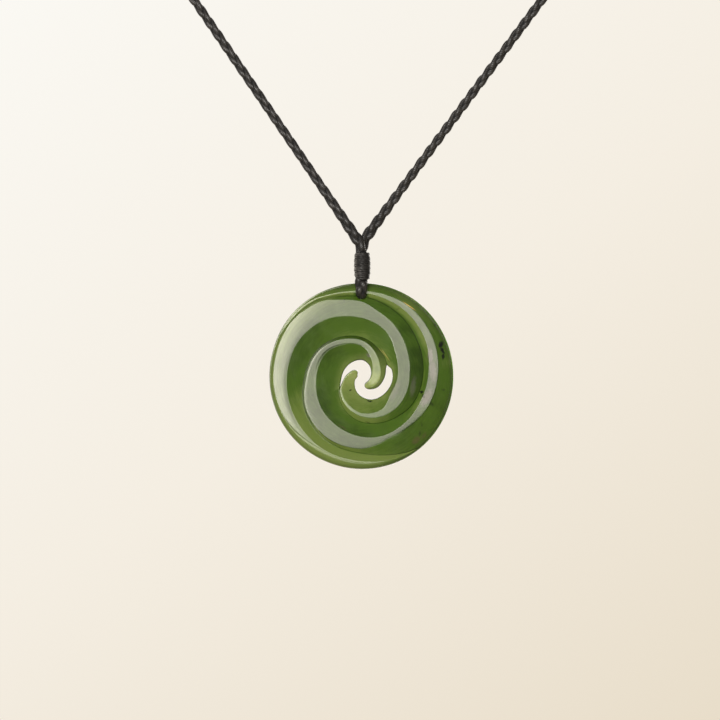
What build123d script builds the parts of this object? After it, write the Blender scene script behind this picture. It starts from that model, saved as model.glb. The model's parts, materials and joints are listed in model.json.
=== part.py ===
from build123d import *
from collections import namedtuple
from math import asin, atan2, cos, hypot, radians, sin, tan
import os

# Koru pendant worn on a plaited neck cord. Millimetres, +Z up, the wearer's front towards -Y.
# The origin is the middle of the cord at the nape, and the stone hangs below it.

# Stone disc
disc_radius = 20.0
disc_thickness = 4.4
rim_rounding = 1.9
groove_depth = 1.0
groove_lead = 1.4
bevel_drop = 1.2
tool_rise = 1.0

# Drilled hole for the cord
hole_inset = 2.1
hole_clearance = 0.15
hole_flare = 0.45

# Plaited cord, and how its two legs run between the hole and the binding
cord_diameter = 2.0
leg_spacing = 2.1
leg_straight = 1.2
loop_bend = 1.38
loop_bend_inset = 0.55

# Binding above the stone
whipping_length = 6.0
whipping_gap = 0.9
whipping_wall = 0.45
whipping_swell = 0.3
whipping_clearance = 0.12

# Closing clasp at the nape
clasp_length = 20.0
clasp_radius = 2.6
clasp_end_radius = 2.0
clasp_socket = 5.0
clasp_clearance = 0.05

# Free cord from the binding to the clasp: x, y, z of each corner of its route, chosen from the photo
LEFT_ROUTE = [
    (0.0, -1.05, -165.2),
    (0.0, -1.05, -163.2),
    (-57.0, 0.0, -80.2),
    (-59.0, 0.0, -46.9),
    (-43.5, 0.0, -17.3),
    (-14.8, 0.0, 0.0),
    (-5.0, 0.0, 0.0),
]
RIGHT_ROUTE = [
    (0.0, 1.05, -165.2),
    (0.0, 1.05, -162.7),
    (60.1, 0.0, -82.4),
    (63.2, 0.0, -48.4),
    (47.9, 0.0, -17.9),
    (18.9, 0.0, 0.0),
    (5.0, 0.0, 0.0),
]

# The two carved arms, from the tip of each finger outwards. turn is the angle in degrees, anticlockwise from
# the right-hand side as seen from the front, and it goes on past 360. The radii are shares of the disc's
# radius: where the flank inside the arm ends, and the two edges of the arm's flat top.
Row = namedtuple("Row", "turn floor top_in top_out")
ARM_A = [
    Row(360, 0.095, 0.105, 0.200),
    Row(390, 0.112, 0.130, 0.230),
    Row(420, 0.155, 0.215, 0.300),
    Row(450, 0.182, 0.330, 0.390),
    Row(480, 0.198, 0.395, 0.465),
    Row(510, 0.203, 0.475, 0.545),
    Row(540, 0.225, 0.500, 0.605),
    Row(570, 0.270, 0.555, 0.705),
    Row(600, 0.390, 0.600, 0.780),
    Row(630, 0.495, 0.655, 0.795),
    Row(660, 0.560, 0.705, 0.725),
    Row(690, 0.630, 0.715, 0.780),
    Row(720, 0.670, 0.725, 0.830),
    Row(750, 0.715, 0.800, 0.885),
    Row(780, 0.790, 0.860, 0.918),
    Row(810, 0.860, 0.895, 0.925),
    Row(840, 0.950, 0.965, 0.975),
]
ARM_B = [
    Row(180, 0.055, 0.170, 0.185),
    Row(210, 0.085, 0.235, 0.252),
    Row(240, 0.160, 0.322, 0.350),
    Row(270, 0.230, 0.400, 0.435),
    Row(300, 0.288, 0.425, 0.495),
    Row(330, 0.322, 0.360, 0.515),
    Row(360, 0.340, 0.400, 0.520),
    Row(390, 0.318, 0.430, 0.570),
    Row(420, 0.355, 0.545, 0.670),
    Row(450, 0.425, 0.630, 0.845),
    Row(480, 0.488, 0.725, 0.935),
    Row(510, 0.555, 0.785, 0.965),
    Row(540, 0.615, 0.815, 0.955),
    Row(570, 0.710, 0.850, 0.945),
    Row(600, 0.790, 0.890, 0.905),
    Row(630, 0.835, 0.920, 0.940),
    Row(660, 0.950, 0.970, 0.980),
]
full_turn_deg = 360
section_step_deg = 15
fade_start_deg = 750
fade_span_deg = 110
bevel_start_deg = 660
bevel_end_deg = 810
bevel_fade_deg = 90

# The S-shaped opening, across and up from the disc's centre, as shares of its radius, going round clockwise
# from the tip of its left-hand tail
OPENING = [
    (-0.231, -0.112), (-0.224, -0.035), (-0.196, 0.055), (-0.120, 0.143), (-0.020, 0.180),
    (0.062, 0.145), (0.104, 0.070), (0.098, -0.010), (0.052, -0.065), (0.040, -0.112),
    (0.090, -0.145), (0.175, -0.121), (0.238, -0.050), (0.266, 0.045), (0.268, 0.105),
    (0.292, 0.117), (0.318, 0.095), (0.336, 0.020), (0.332, -0.070), (0.286, -0.145),
    (0.205, -0.218), (0.100, -0.254), (0.006, -0.222), (-0.055, -0.152), (-0.068, -0.085),
    (-0.038, 0.000), (-0.044, 0.055), (-0.082, 0.070), (-0.130, 0.045), (-0.190, -0.030),
]

whipping_top = LEFT_ROUTE[0][2]
whipping_bottom = whipping_top - whipping_length
disc_z = whipping_bottom - whipping_gap - disc_radius
hole_z = disc_z + disc_radius - hole_inset
hole_radius = cord_diameter / 2 + hole_clearance
half_thickness = disc_thickness / 2
leg_y = leg_spacing / 2


def on_face(radius, turn, depth):
    """A point of the front face, at a radius and angle about the disc's centre and a depth below the face."""
    angle = radians(turn)
    return Vector(radius * cos(angle), depth - half_thickness, disc_z + radius * sin(angle))


def cut_section(turn, inner, floor, outer, depth):
    """One section of a carving cut: a V from its inner edge down to its floor and up to its outer edge."""
    corners = [(inner, -tool_rise), (inner, 0), (floor, depth), (outer, 0), (outer, -tool_rise)]
    return Face(Wire.make_polygon([on_face(radius, turn, down) for radius, down in corners]))


def arm_at(arm, turn):
    """The arm's row at any angle, between the two rows of the table on either side of it."""
    for before, after in zip(arm, arm[1:]):
        if before.turn <= turn <= after.turn:
            share = (turn - before.turn) / (after.turn - before.turn)
            return Row(*[a + (b - a) * share for a, b in zip(before, after)])
    return None


def turns_of(first, last):
    """The angles at which a cut is given a section."""
    return range(first, last + 1, section_step_deg)


def groove(arm, inner_arm, turns_back, depth_at):
    """The cut on the inside of one arm, from its finger in the opening out to the rim."""
    sections = []
    for turn in turns_of(arm[0].turn, arm[-1].turn):
        row = arm_at(arm, turn)
        floor = row.floor * disc_radius
        inner_row = arm_at(inner_arm, turn - turns_back)
        inner = max(floor - groove_lead, floor * 0.3)
        if inner_row and turn > arm[0].turn + full_turn_deg / 2:
            inner = inner_row.top_out * disc_radius
        sections.append(cut_section(turn, inner, floor, row.top_in * disc_radius, depth_at(turn)))
    return loft(sections, ruled=True)


def fading_depth(turn):
    """Depth of the groove that runs out at the rim."""
    return groove_depth * (1 - max(0, turn - fade_start_deg) / fade_span_deg)


def full_depth(turn):
    """Depth of the groove that keeps its depth to the rim."""
    return groove_depth


def outer_bevel():
    """The slope from the edge of arm A down to the rim, low on the right-hand side."""
    reach = disc_radius + tool_rise
    sections = []
    for turn in turns_of(bevel_start_deg, bevel_end_deg):
        top = arm_at(ARM_A, turn).top_out * disc_radius
        drop = bevel_drop * min(1, (bevel_end_deg + section_step_deg - turn) / bevel_fade_deg)
        drop *= (reach - top) / (disc_radius - top)
        corners = [(top, -tool_rise), (top, 0), (reach, drop), (reach, -tool_rise)]
        sections.append(Face(Wire.make_polygon([on_face(radius, turn, down) for radius, down in corners])))
    return loft(sections, ruled=True)


def disc_blank():
    """The plain stone with its rounded rim."""
    flat = disc_radius - rim_rounding
    edge = half_thickness - rim_rounding
    side = half_thickness
    outline = Polyline((0, side), (flat, side))
    outline += JernArc((flat, side), (1, 0), rim_rounding, -90)
    outline += Line((disc_radius, edge), (disc_radius, -edge))
    outline += JernArc((disc_radius, -edge), (0, -1), rim_rounding, -90)
    outline += Polyline((flat, -side), (0, -side), (0, side))
    blank = revolve(make_face(outline), Axis.Y)
    return Pos(0, 0, disc_z) * blank


def opening():
    """The S-shaped hole, straight through the stone."""
    outline = Spline(*[(x * disc_radius, z * disc_radius) for x, z in OPENING], periodic=True)
    face = Plane.XZ * make_face(outline)
    return Pos(0, 0, disc_z) * extrude(face, disc_thickness, both=True)


def cord_hole():
    """The drilled hole, opened out at both mouths for the cord."""
    length = disc_thickness + 2 * tool_rise
    drill = Cylinder(hole_radius, length, rotation=(90, 0, 0))
    for side in (1, -1):
        mouth = Cone(hole_radius, hole_radius + hole_flare + tool_rise, hole_flare + tool_rise,
                     rotation=(-90 * side, 0, 0))
        drill += Pos(0, side * (half_thickness + (tool_rise - hole_flare) / 2), 0) * mouth
    return Pos(0, 0, hole_z) * drill


def make_disc():
    """The carved stone: both faces carved alike, pierced and drilled."""
    cuts = [
        groove(ARM_A, ARM_B, full_turn_deg, fading_depth),
        groove(ARM_B, ARM_A, 0, full_depth),
        outer_bevel(),
    ]
    stone = disc_blank()
    for cut in cuts:
        stone -= cut
    for cut in cuts:
        stone -= mirror(cut, about=Plane.XZ)
    return stone - opening() - cord_hole()


def loop_route():
    """Corners of the held cord, from the binding's top, through the hole and back up to it."""
    top = Vector(leg_y, whipping_top)
    knee = Vector(leg_y, whipping_top - leg_straight)
    centre = Vector(half_thickness - loop_bend_inset, hole_z + loop_bend)
    across, up = knee.X - centre.X, knee.Y - centre.Y
    lean = asin(loop_bend / hypot(across, up)) - atan2(across, up)
    part_turn = (radians(90) + lean) / 4
    reach = loop_bend / cos(part_turn)
    low = centre + Vector(sin(part_turn), -cos(part_turn)) * reach
    high_angle = lean - part_turn
    high = centre + Vector(cos(high_angle), sin(high_angle)) * reach
    side = [top, knee, high, low]
    front = [(0, -point.X, point.Y) for point in side]
    back = [(0, point.X, point.Y) for point in reversed(side)]
    return front + back


def tube(points, radii, diameter):
    """A round cord along straight runs with tangent arcs at the corners."""
    path = FilletPolyline(*points, radius=radii)
    start = Plane(origin=path @ 0, z_dir=path % 0)
    return sweep(start * Circle(diameter / 2), path=path)


def corner_radii(points):
    """For each corner of a route, an arc as large as its two runs allow."""
    radii = []
    for before, corner, after in zip(points, points[1:], points[2:]):
        arriving = Vector(*corner) - Vector(*before)
        leaving = Vector(*after) - Vector(*corner)
        half_turn = radians(arriving.get_angle(leaving)) / 2
        radii.append(0.45 * min(arriving.length, leaving.length) / tan(half_turn))
    return radii


def make_loop():
    """The cord held in the binding and in the stone's hole."""
    route = loop_route()
    radii = corner_radii(route)
    print("pendant loop radii", [round(radius, 1) for radius in radii])
    return tube(route, radii, cord_diameter)


def slot_loft(rows):
    """A loft through upright slots: height, half width, and how far the leg centres stand apart."""
    sections = []
    for z, half_width, spacing in rows:
        slot = SlotCenterToCenter(spacing, 2 * half_width, rotation=90)
        sections.append(Plane(origin=(0, 0, z)) * slot)
    return loft(sections)


def make_whipping():
    """The bound sleeve round both legs, wider in its middle and deeper at its foot."""
    knee_z = whipping_top - leg_straight
    high = loop_route()[2]
    lean = (-high[1] - leg_y) / (knee_z - high[2])
    foot_y = leg_y + lean * (knee_z - whipping_bottom)
    middle_z = (whipping_top + whipping_bottom) / 2
    middle_y = leg_y + lean * (knee_z - middle_z)
    bore = cord_diameter / 2 + whipping_clearance
    ends = bore + whipping_wall
    outside = slot_loft([
        (whipping_bottom, ends, 2 * foot_y),
        (middle_z, ends + whipping_swell, 2 * middle_y),
        (whipping_top, ends, 2 * leg_y),
    ])
    inside = slot_loft([
        (whipping_bottom, bore, 2 * foot_y),
        (knee_z, bore, 2 * leg_y),
    ])
    neck = slot_loft([(knee_z, bore, 2 * leg_y), (whipping_top, bore, 2 * leg_y)])
    return outside - inside - neck


def make_neck_cord(route, name):
    """One side of the free cord, from the binding to its seat in the clasp."""
    radii = corner_radii(route)
    print(name, "radii", [round(radius, 1) for radius in radii])
    cord = tube(route, radii, cord_diameter)
    runs = sum((Vector(*b) - Vector(*a)).length for a, b in zip(route, route[1:]))
    length = FilletPolyline(*route, radius=radii).length
    section = Circle(cord_diameter / 2).area
    print(name, "runs", round(runs, 1), "length", round(length, 1),
          "volume", round(cord.volume, 1), "section times length", round(section * length, 1))
    return cord


def make_clasp():
    """A plain barrel with a socket in each end for the cord."""
    outline = Polyline(
        (0, 0),
        (0, clasp_end_radius),
        (clasp_length * 0.2, clasp_radius),
        (clasp_length * 0.8, clasp_radius),
        (clasp_length, clasp_end_radius),
        (clasp_length, 0),
        (0, 0),
    )
    barrel = Pos(-clasp_length / 2, 0, 0) * revolve(make_face(outline), Axis.X)
    for side in (1, -1):
        socket = Cylinder(cord_diameter / 2 + clasp_clearance, clasp_socket, rotation=(0, 90, 0))
        barrel -= Pos(side * (clasp_length - clasp_socket) / 2, 0, 0) * socket
    return barrel


pieces = {
    "disc": make_disc(),
    "pendant_loop": make_loop(),
    "whipping": make_whipping(),
    "neck_cord_left": make_neck_cord(LEFT_ROUTE, "left cord"),
    "neck_cord_right": make_neck_cord(RIGHT_ROUTE, "right cord"),
    "closing_clasp": make_clasp(),
}

os.makedirs("parts", exist_ok=True)
for name, piece in pieces.items():
    export_step(piece, f"parts/{name}.step")
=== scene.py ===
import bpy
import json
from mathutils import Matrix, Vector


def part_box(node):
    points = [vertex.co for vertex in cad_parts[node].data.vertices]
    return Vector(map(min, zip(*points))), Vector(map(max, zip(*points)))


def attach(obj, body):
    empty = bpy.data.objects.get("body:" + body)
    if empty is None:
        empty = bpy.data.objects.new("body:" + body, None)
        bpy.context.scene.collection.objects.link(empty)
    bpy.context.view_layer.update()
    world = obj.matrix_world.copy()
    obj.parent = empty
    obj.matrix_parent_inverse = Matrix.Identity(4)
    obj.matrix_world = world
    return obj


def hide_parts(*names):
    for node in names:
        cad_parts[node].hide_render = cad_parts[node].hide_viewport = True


bl_info = {
    "name": "Koru pendant",
    "version": (1, 0, 0),
    "blender": (4, 5, 0),
    "location": "3D View > Sidebar > Koru pendant",
    "description": "A carved greenstone koru pendant on a plaited neck cord",
    "category": "Add Mesh",
}

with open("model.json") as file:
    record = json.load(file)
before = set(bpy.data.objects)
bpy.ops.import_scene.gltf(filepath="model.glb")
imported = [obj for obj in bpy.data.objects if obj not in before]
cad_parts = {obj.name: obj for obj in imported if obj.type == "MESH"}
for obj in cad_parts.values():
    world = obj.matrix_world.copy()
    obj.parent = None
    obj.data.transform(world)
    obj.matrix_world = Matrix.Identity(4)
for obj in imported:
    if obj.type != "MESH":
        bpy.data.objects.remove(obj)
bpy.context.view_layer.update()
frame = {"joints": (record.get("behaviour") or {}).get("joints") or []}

import json
from collections import namedtuple
from math import asin, atan2, ceil, cos, hypot, pi, radians, sin, sqrt, tanh

import bmesh
import bpy
from bpy.props import FloatProperty, FloatVectorProperty, IntProperty, PointerProperty
from mathutils import Matrix, Vector

# Metres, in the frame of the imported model: +Z up, the pendant's front towards -Y, the origin at the clasp.
MM = 0.001
STONE_LOW, STONE_HIGH = (Vector(corner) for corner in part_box("disc"))
STONE_CENTRE = (STONE_LOW + STONE_HIGH) / 2
STONE_RADIUS = (STONE_HIGH.x - STONE_LOW.x) / 2
STONE_HALF = (STONE_HIGH.y - STONE_LOW.y) / 2
BINDING_LOW, BINDING_HIGH = (Vector(corner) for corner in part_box("whipping"))
CLASP_LOW, CLASP_HIGH = (Vector(corner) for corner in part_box("closing_clasp"))
HOLE = Vector(frame["joints"][0]["pos_m"])

# Route of the free cord on each side, in millimetres, from the binding to the clasp
LEFT_ROUTE = [
    (-0.05, -1.05, -165.2), (-0.15, -1.05, -163.6), (-1.15, -1.03, -161.9), (-38.1, -0.35, -107.7),
    (-57.0, 0.0, -80.2), (-59.0, 0.0, -46.9), (-43.5, 0.0, -17.3), (-14.8, 0.0, 0.0), (-5.0, 0.0, 0.0),
]
RIGHT_ROUTE = [
    (0.25, 1.05, -165.2), (0.30, 1.05, -163.2), (1.35, 1.02, -161.3), (40.1, 0.35, -109.1),
    (60.1, 0.0, -82.4), (63.2, 0.0, -48.4), (47.9, 0.0, -17.9), (18.9, 0.0, 0.0), (5.0, 0.0, 0.0),
]

# How the held cord runs between the binding and the stone's hole, in millimetres: how far each leg is from the
# middle, how long it stays straight, the radius of its bend, how far the bend's middle lies inside the stone's face,
# and how far the cord's middle lies below the hole's
LEG_Y = 1.05
LEG_STRAIGHT = 1.2
LOOP_BEND = 1.38
LOOP_BEND_INSET = 0.55
LOOP_SETTLE = 0.18

# How full the cords are: the held cord by the share of its length from the nearer end, fuller in the legs and as
# wide as the hole in it, and a free cord by the share from the binding, fuller where the two sides part
Size = namedtuple("Size", "share size")
LOOP_SIZES = [Size(*row) for row in (
    (0.0, 0.94), (0.2, 0.98), (0.25, 1.26), (0.29, 1.42), (0.33, 1.38), (0.38, 1.2), (0.42, 1.17), (0.5, 1.17),
)]
CORD_SIZES = [Size(*row) for row in ((0.0, 1.1), (0.02, 1.24), (0.04, 1.12), (0.1, 1.0), (1.0, 1.0))]

# The plait: how sharply a strand turns at each side, how flat it is from front to back, how far out its visible
# part starts and how deep that part is, both as shares, its sides, and the shift of the fibres between strands
TURN_SHARPNESS = 1.5
STRAND_FLATNESS = 0.88
SEEN_FROM, SEEN_DEPTH = 0.62, 0.34
STRAND_SIDES = 14
FIBRE_SHIFT = 7.3
# How far each cord is rolled about its own line and how far the free cords roll to and fro along it, in radians,
# and the length of one radian of that swing, in millimetres; the held cord's shorter period, as a share of theirs
LEFT_ROLL, RIGHT_ROLL, HELD_ROLL = -0.3, 0.35, 0.1
ROLL_SWING, ROLL_LENGTH = 0.12, 19
HELD_PERIOD = 0.8

# The binding, in millimetres: how much nearer to its middle its front and back are at the head than at the foot, how
# far its thread lies inside the solid's sides, how far it narrows at its ends, how far to the right it stands, how
# far its windings wander across and up, and how far the lowest ones rise at their sides, clear of the swinging stone
HEAD_TAPER = 1.45
THREAD_INSET = 0.06
END_NARROWING = 0.22
SIDE_SHIFT = 0.2
WANDER_ACROSS, WANDER_UP = 0.05, 0.06
FOOT_RISE = 0.38
# How fast that wandering goes, as shares of the winding's angle, and how far a winding falls for each unit to the
# right
ACROSS_PACE, UP_PACE = 1.31, 0.77
WINDING_SLANT = 0.05
# How far the end windings' middle lies inside the solid's ends, as a share of the thread's radius, the angle in
# radians where the thread starts, the share of a winding before it climbs, how sharply it turns where its straight
# sides end, and the least cosine, from straight outwards, at which it is worn
THREAD_END = 0.9
START_ANGLE, CLIMB_START = 0.6, 0.5
CORNER_SHARPNESS = 3
WORN_FROM = 0.6
# The corners in a winding, and the sides of the thread
WINDING_STEPS, THREAD_SIDES = 36, 12

# How near, in metres, points are merged in threads, in the plain pieces and in the stone, and the angles, in
# degrees, past which an edge of the clasp and of the stone is sharp
THREAD_MERGE, PLAIN_MERGE, STONE_MERGE = 1e-7, 1e-6, 2e-6
CLASP_SHARP, STONE_SHARP = 30, 38

# The two carved arms. turn is the angle in degrees, anticlockwise from the right-hand side seen from the front,
# and it goes on past 360. The radii are shares of the stone's: the foot of the arm's inner flank, the two edges of
# its flat top. foot and sink are how far the foot and the top lie below the stone's face, in millimetres.
Arm = namedtuple("Arm", "turn foot_r top_in top_out foot sink")
ARM_A = [Arm(*row) for row in (
    (288, 0.118, 0.118, 0.118, 1.15, 1.15), (289, 0.105, 0.112, 0.122, 1.15, 1.00),
    (291, 0.096, 0.106, 0.128, 1.15, 0.85), (294, 0.090, 0.102, 0.134, 1.15, 0.70),
    (300, 0.084, 0.100, 0.142, 1.15, 0.55), (309, 0.082, 0.098, 0.152, 1.15, 0.42),
    (330, 0.088, 0.100, 0.178, 0.80, 0.28), (354, 0.097, 0.110, 0.200, 0.55, 0.18),
    (390, 0.121, 0.142, 0.232, 0.60, 0.08), (420, 0.152, 0.215, 0.300, 1.00, 0.02),
    (450, 0.176, 0.330, 0.390, 1.25, 0.00), (480, 0.180, 0.400, 0.462, 1.25, 0.00),
    (510, 0.190, 0.475, 0.538, 1.25, 0.00), (540, 0.210, 0.500, 0.594, 1.20, 0.00),
    (552, 0.225, 0.515, 0.628, 1.15, 0.00), (567, 0.260, 0.540, 0.684, 1.15, 0.00),
    (585, 0.335, 0.575, 0.730, 1.05, 0.00), (600, 0.390, 0.600, 0.764, 1.05, 0.00),
    (615, 0.445, 0.630, 0.780, 1.05, 0.00), (630, 0.495, 0.660, 0.786, 1.05, 0.00),
    (645, 0.530, 0.685, 0.752, 1.05, 0.02), (655, 0.552, 0.692, 0.726, 1.05, 0.02),
    (675, 0.595, 0.694, 0.750, 1.05, 0.00), (690, 0.630, 0.695, 0.785, 1.05, 0.00),
    (720, 0.670, 0.725, 0.830, 1.05, 0.00), (750, 0.715, 0.800, 0.885, 1.00, 0.00),
    (780, 0.790, 0.860, 0.918, 0.85, 0.00), (810, 0.865, 0.903, 0.924, 0.65, 0.00),
    (820, 0.883, 0.917, 0.930, 0.55, 0.00), (828, 0.902, 0.930, 0.941, 0.50, 0.02),
    (836, 0.925, 0.947, 0.957, 0.42, 0.05), (840, 0.941, 0.957, 0.968, 0.40, 0.08),
    (850, 0.951, 0.965, 0.981, 0.35, 0.12), (860, 0.956, 0.968, 0.982, 0.33, 0.15),
    (870, 0.970, 0.977, 0.983, 0.32, 0.22), (876, 0.985, 0.985, 0.985, 0.30, 0.30),
)]
ARM_B = [Arm(*row) for row in (
    (126, 0.074, 0.074, 0.074, 1.15, 1.15), (128, 0.062, 0.070, 0.080, 1.15, 1.00),
    (132, 0.054, 0.066, 0.088, 1.15, 0.85), (140, 0.048, 0.066, 0.100, 1.15, 0.70),
    (150, 0.044, 0.080, 0.118, 1.15, 0.58), (162, 0.041, 0.110, 0.132, 1.15, 0.48),
    (180, 0.039, 0.150, 0.172, 1.15, 0.38), (198, 0.050, 0.200, 0.212, 1.15, 0.30),
    (207, 0.068, 0.235, 0.250, 1.15, 0.26), (231, 0.112, 0.300, 0.325, 1.20, 0.18),
    (250, 0.162, 0.350, 0.380, 1.25, 0.12), (270, 0.216, 0.400, 0.435, 1.25, 0.06),
    (300, 0.284, 0.425, 0.495, 1.25, 0.02), (330, 0.319, 0.372, 0.515, 1.20, 0.00),
    (360, 0.340, 0.395, 0.515, 1.15, 0.00), (372, 0.338, 0.408, 0.530, 1.10, 0.00),
    (384, 0.306, 0.428, 0.550, 1.15, 0.00), (396, 0.322, 0.455, 0.582, 1.05, 0.00),
    (420, 0.355, 0.555, 0.662, 1.05, 0.00), (435, 0.388, 0.600, 0.720, 1.05, 0.00),
    (450, 0.425, 0.638, 0.812, 1.05, 0.00), (465, 0.455, 0.680, 0.858, 1.05, 0.00),
    (480, 0.488, 0.727, 0.922, 1.05, 0.00), (510, 0.555, 0.785, 0.956, 1.05, 0.00),
    (540, 0.615, 0.815, 0.955, 1.05, 0.00), (570, 0.710, 0.850, 0.945, 1.00, 0.00),
    (600, 0.790, 0.890, 0.905, 0.90, 0.00), (630, 0.835, 0.920, 0.940, 0.75, 0.00),
    (645, 0.885, 0.945, 0.960, 0.62, 0.00), (660, 0.950, 0.970, 0.980, 0.70, 0.25),
    (669, 0.985, 0.985, 0.985, 0.80, 0.80),
)]
# Outer edges of the arms' fingers in the opening, as turn and share of the stone's radius, up to where each finger
# leaves it
Edge = namedtuple("Edge", "turn edge_r")
FINGER_A = [Edge(*row) for row in (
    (288, 0.118), (289, 0.131), (291, 0.140), (294, 0.149), (300, 0.164), (309, 0.182), (325, 0.213), (348, 0.243),
    (366, 0.267), (378, 0.284), (384, 0.306),
)]
FINGER_B = [Edge(*row) for row in (
    (126, 0.074), (128, 0.086), (132, 0.096), (140, 0.109), (150, 0.123), (162, 0.139), (180, 0.176), (189, 0.196),
    (198, 0.222), (204, 0.246), (207, 0.260),
)]
FULL_TURN = 360
# Turns up to which the inner side of each arm is an edge of the opening, and angles at which the two arms' tails run
# out into the rim
OPENING_A_END, OPENING_B_END = 567, 384
A_TAIL_END = ARM_A[-1].turn - 2 * FULL_TURN
B_TAIL_END = ARM_B[-1].turn - FULL_TURN
# Degrees between sections, and how far from an arm's start all its rows get a section of their own
TURN_STEP = 3
START_LENGTH = 10
# Where the rim starts, and where its outline starts to stand out, as shares of the stone's radius
RIM_START = 0.985
BULGE_START = 0.8

# Places of a section's points, as shares of each of its parts: the lips at both edges, the inner flank, the flat
# top and the outer wall
LIP_STEPS = (0, 0.08, 0.25, 0.55)
FLANK_STEPS = (0, 0.12, 0.26, 0.4, 0.54, 0.67, 0.78, 0.87, 0.93, 0.97)
LAND_STEPS = (0, 0.04, 0.12, 0.25, 0.42, 0.58, 0.75, 0.88, 0.96)
WALL_STEPS = (0, 0.06, 0.2, 0.45, 0.75)
# Largest shares of the flank and of the wall that a lip takes
LIP_OF_FLANK, LIP_OF_WALL = 0.3, 0.6
# Steps down the opening's side, and across the flat and the rounded parts of the rim
SIDE_STEPS = 3
FLAT_STEPS, ROUND_STEPS = 3, 9

# Measures from front to back, in millimetres: from the face to a finger's foot, and on each side of the stone's
# middle what the rounded rim leaves and the least that the carving leaves
OPENING_DEPTH = 1.15
RIM_BAND = 0.3
LEAST_LEFT = 0.05
# The depth of an outer wall grows with the first power of the share across it, and with up to the second more as the
# wall nears this width, in millimetres
WALL_POWER, WIDE_WALL_POWER, WIDE_WALL = 0.9, 0.5, 3
# A flat top is less crowned below the first width and past the second, in millimetres. Past that the crown would be
# gone over the third, but keeps at least this share
NARROW_TOP, WIDE_TOP, CROWN_FADE = 1.2, 1.5, 2.5
LEAST_CROWN = 0.35
# How much of the crown a wide wall takes from the edge beside it, and the crown's share at inner edges: its middle
# value, how much less it is where they face left, and its least
WALL_TAKES = 0.8
INNER_CROWN, INNER_SWING, INNER_LEAST = 0.55, 0.6, 0.1
# Share of the radius inside which the face falls towards the middle
DISH_RADIUS = 0.62

# The stone's edge, by the angle round it: how far in the face starts to round over, how far the hand-cut outline
# stands out from a true circle, how far below the face an arm's outer wall ends at the rim, all in millimetres, and
# the share of the rim that is a flat facet
Rim = namedtuple("Rim", "turn width bulge drop facet")
RIM = [Rim(*row) for row in (
    (0, 0.80, 0.0, 1.15, 0), (10, 0.90, 0.03, 1.15, 0), (30, 1.10, 0.10, 0.98, 0), (60, 1.60, 0.27, 0.69, 0),
    (90, 1.30, 0.29, 0.35, 0), (105, 0.80, 0.28, 0.32, 0.3), (120, 0.30, 0.33, 0.30, 0.75),
    (135, 0.30, 0.30, 0.30, 0.75), (150, 0.40, 0.18, 0.30, 0.5), (165, 0.60, 0.02, 0.30, 0.3),
    (190, 0.95, 0.0, 0.0, 0), (240, 1.15, 0.05, 0.0, 0), (270, 1.10, 0.18, 0.0, 0), (285, 1.0, 0.23, 0.0, 0),
    (300, 0.90, 0.25, 0.35, 0), (309, 0.90, 0.22, 0.80, 0), (330, 0.80, 0.12, 1.15, 0), (360, 0.80, 0.0, 1.15, 0),
)]

# How light the stone is along each arm, from 0 (its darkest green) through 0.5 (its main green) to 1 and more (its
# palest): at the foot of the inner flank, just inside the flat top, on it, and on the outer wall. It is partly the
# stone's own tone and partly painted light and shade: painted glow where light would come through the stone, and
# painted shade on walls and flanks that face away from the lights.
Shade = namedtuple("Shade", "turn foot top land wall")
SHADE_A = [Shade(*row) for row in (
    (288, 0.9, 0.9, 0.9, 0.9), (360, 0.8, 0.7, 0.8, 0.4), (390, 0.7, 0.6, 0.4, 0.2), (420, 0.6, 0.4, 0.2, 0.1),
    (450, 0.1, 0.4, 0.1, 0.1), (480, 0.6, 0.35, 0.1, 0.3), (510, 0.85, 0.3, 0.1, 0.45), (540, 0.75, 0.2, 0.1, 0.5),
    (570, 0.8, 0.15, 0.1, 0.4), (600, 0.75, 0.15, 0.1, 1.25), (630, 0.6, 0.15, 0.1, 0.8), (660, 0.6, 0.5, 0.1, 0.35),
    (690, 0.3, 0.75, 0.1, 0.35), (720, 0.9, 0.65, 0.1, 0.6), (750, 0.2, 1.0, 0.1, 0.5), (780, 0.25, 1.15, 0.15, 0.7),
    (810, 0.3, 1.1, 0.7, 0.4), (840, 0.25, 0.8, 0.9, 0.3), (876, 0.3, 0.5, 0.5, 0.3),
)]
SHADE_B = [Shade(*row) for row in (
    (126, 1.0, 1.0, 0.9, 1.0), (180, 1.2, 1.0, 0.8, 0.8), (210, 1.2, 0.9, 0.8, 0.8), (240, 1.2, 0.8, 0.75, 1.2),
    (270, 0.9, 0.9, 0.45, 1.1), (300, 0.7, 0.7, 0.3, 0.8), (330, 0.85, 0.6, 0.1, 0.25), (360, 1.15, 0.3, 0.1, 0.15),
    (390, 0.8, 0.5, 0.1, 0.2), (420, 0.6, 0.4, 0.1, 0.35), (450, 0.7, 0.35, 0.1, 0.3), (480, 0.6, 0.25, 0.1, 0.7),
    (510, 0.5, 0.35, 0.1, 0.9), (540, 0.5, 0.3, 0.1, 0.95), (570, 0.95, 0.95, 0.1, 1.0), (600, 0.9, 1.0, 0.4, 0.95),
    (630, 0.8, 1.25, 0.7, 0.6), (650, 1.1, 1.3, 0.7, 0.5), (669, 1.1, 0.9, 0.6, 0.35),
)]

# How much painted shade darkens a crease, and the widths of these painted dark lines at an arm's outer foot, at its
# inner foot and along the opening, in millimetres
CREASE_SHADE = 0.7
OUTER_CREASE, INNER_CREASE, OPENING_LINE = 0.14, 0.10, 0.22

# How much light the rim lets through, as turn and share, and where that light starts and over what width it grows,
# as shares of the stone's radius
Light = namedtuple("Light", "turn share")
RIM_LIGHT = [Light(*row) for row in (
    (0, 0.0), (40, 0.05), (75, 0.15), (100, 0.35), (125, 0.8), (150, 0.9), (185, 0.5), (225, 0.75), (255, 1.0),
    (275, 0.9), (295, 0.25), (315, 0.0), (360, 0.0),
)]
RIM_LIGHT_START, RIM_LIGHT_WIDTH = 0.80, 0.12
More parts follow.
